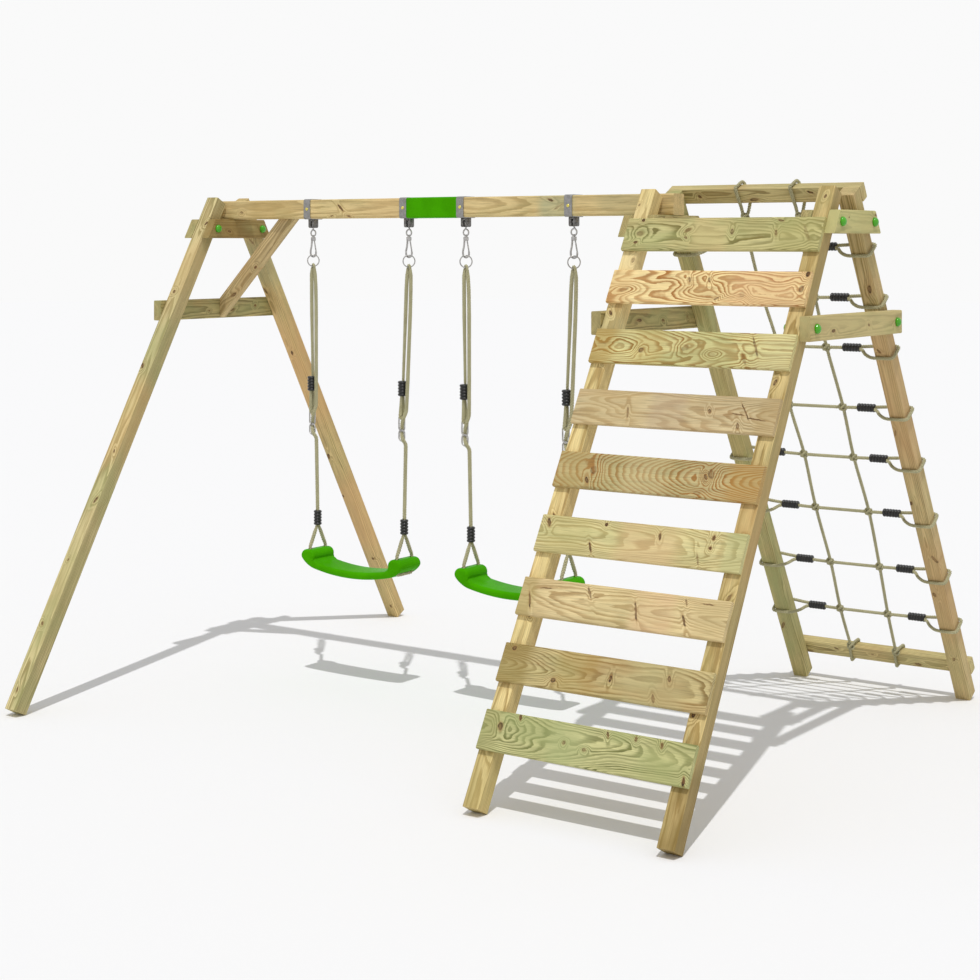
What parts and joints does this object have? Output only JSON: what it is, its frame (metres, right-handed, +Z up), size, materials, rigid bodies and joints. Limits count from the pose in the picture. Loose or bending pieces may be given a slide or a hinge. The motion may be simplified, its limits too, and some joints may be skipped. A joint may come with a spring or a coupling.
{
  "type": "swing set",
  "caption": "Wooden A-frame swing set with rope-hung moulded seats, a plank climbing side and a rope climbing net.",
  "frame": {"origin": "on the ground, midway between the outer frames and under the swing beam's centre line", "axes": "+X along the swing beam towards the climbing end, +Y towards the net side, +Z up"},
  "size_m": [3.4576, 2.7504, 2.3125],
  "materials": {
    "galvanised_steel": "galvanised",
    "green_plastic": "glossy moulded",
    "pine_board": "pressure-treated pine boards",
    "pine_post": "planed pine, clear",
    "treated_pine": "pressure-treated pine, greenish",
    "twisted_rope": "twisted khaki fibre",
    "black_plastic": "moulded, crimped on the ropes",
    "yellow_zinc": "yellow passivated"
  },
  "bodies": {
    "frame": {"beam_wrap": "green_plastic", "climbing_board_1": "pine_board", "climbing_board_2": "pine_board", "climbing_board_3": "pine_board", "climbing_board_4": "pine_board", "climbing_board_5": "pine_board", "climbing_board_6": "pine_board", "climbing_board_7": "pine_board", "climbing_board_8": "pine_board", "climbing_board_9": "pine_board", "climbing_net": "twisted_rope", "diagonal_brace": "treated_pine", "hanger_1_left": "galvanised_steel", "hanger_1_right": "galvanised_steel", "hanger_2_left": "galvanised_steel", "hanger_2_right": "galvanised_steel", "left_front_leg": "pine_post", "left_lower_crossbar": "treated_pine", "left_rear_leg": "pine_post", "left_upper_bolt_front": "green_plastic", "left_upper_bolt_rear": "green_plastic", "left_upper_crossbar_left": "treated_pine", "left_upper_crossbar_right": "treated_pine", "middle_front_leg": "pine_post", "middle_lower_crossbar": "treated_pine", "middle_rear_leg": "pine_post", "middle_upper_bolt_front": "green_plastic", "middle_upper_bolt_rear": "green_plastic", "middle_upper_crossbar_left": "treated_pine", "middle_upper_crossbar_right": "treated_pine", "net_bottom_rail": "treated_pine", "net_top_rail": "treated_pine", "right_front_leg": "pine_post", "right_lower_bolt_front": "green_plastic", "right_lower_bolt_rear": "green_plastic", "right_lower_crossbar": "treated_pine", "right_rear_leg": "pine_post", "right_upper_bolt_front": "green_plastic", "right_upper_bolt_rear": "green_plastic", "right_upper_crossbar_left": "treated_pine", "right_upper_crossbar_right": "treated_pine", "swing_beam": "pine_post"},
    "swing_1": {"ring_1_left": "galvanised_steel", "ring_1_right": "galvanised_steel", "snap_hook_1_left": "galvanised_steel", "snap_hook_1_right": "galvanised_steel", "swing_rope_1_left": "twisted_rope", "swing_rope_1_right": "twisted_rope", "swing_seat_1": "green_plastic"},
    "swing_2": {"ring_2_left": "galvanised_steel", "ring_2_right": "galvanised_steel", "snap_hook_2_left": "galvanised_steel", "snap_hook_2_right": "galvanised_steel", "swing_rope_2_left": "twisted_rope", "swing_rope_2_right": "twisted_rope", "swing_seat_2": "green_plastic"},
    "gate_1_left": {"hook_gate_1_left": "galvanised_steel"},
    "gate_1_right": {"hook_gate_1_right": "galvanised_steel"},
    "gate_2_left": {"hook_gate_2_left": "galvanised_steel"},
    "gate_2_right": {"hook_gate_2_right": "galvanised_steel"}
  },
  "joints": [
    {"name": "swing_1_hinge", "type": "hinge", "parent": "frame", "child": "swing_1", "pos_m": [-0.793, 0, 2.14821], "axis": [1, 0, 0], "range_deg": [-60, 60]},
    {"name": "swing_2_hinge", "type": "hinge", "parent": "frame", "child": "swing_2", "pos_m": [0.105, 0, 2.14821], "axis": [1, 0, 0], "range_deg": [-60, 60]},
    {"name": "gate_1_left_hinge", "type": "hinge", "parent": "swing_1", "child": "gate_1_left", "pos_m": [-1.075, 0, 2.07171], "axis": [0, 1, 0], "range_deg": [0, 18], "stiffness_Nm_per_rad": 0.05},
    {"name": "gate_1_right_hinge", "type": "hinge", "parent": "swing_1", "child": "gate_1_right", "pos_m": [-0.5, 0, 2.07171], "axis": [0, 1, 0], "range_deg": [0, 18], "stiffness_Nm_per_rad": 0.05},
    {"name": "gate_2_left_hinge", "type": "hinge", "parent": "swing_2", "child": "gate_2_left", "pos_m": [-0.177, 0, 2.07171], "axis": [0, 1, 0], "range_deg": [0, 18], "stiffness_Nm_per_rad": 0.05},
    {"name": "gate_2_right_hinge", "type": "hinge", "parent": "swing_2", "child": "gate_2_right", "pos_m": [0.398, 0, 2.07171], "axis": [0, 1, 0], "range_deg": [0, 18], "stiffness_Nm_per_rad": 0.05}
  ]
}
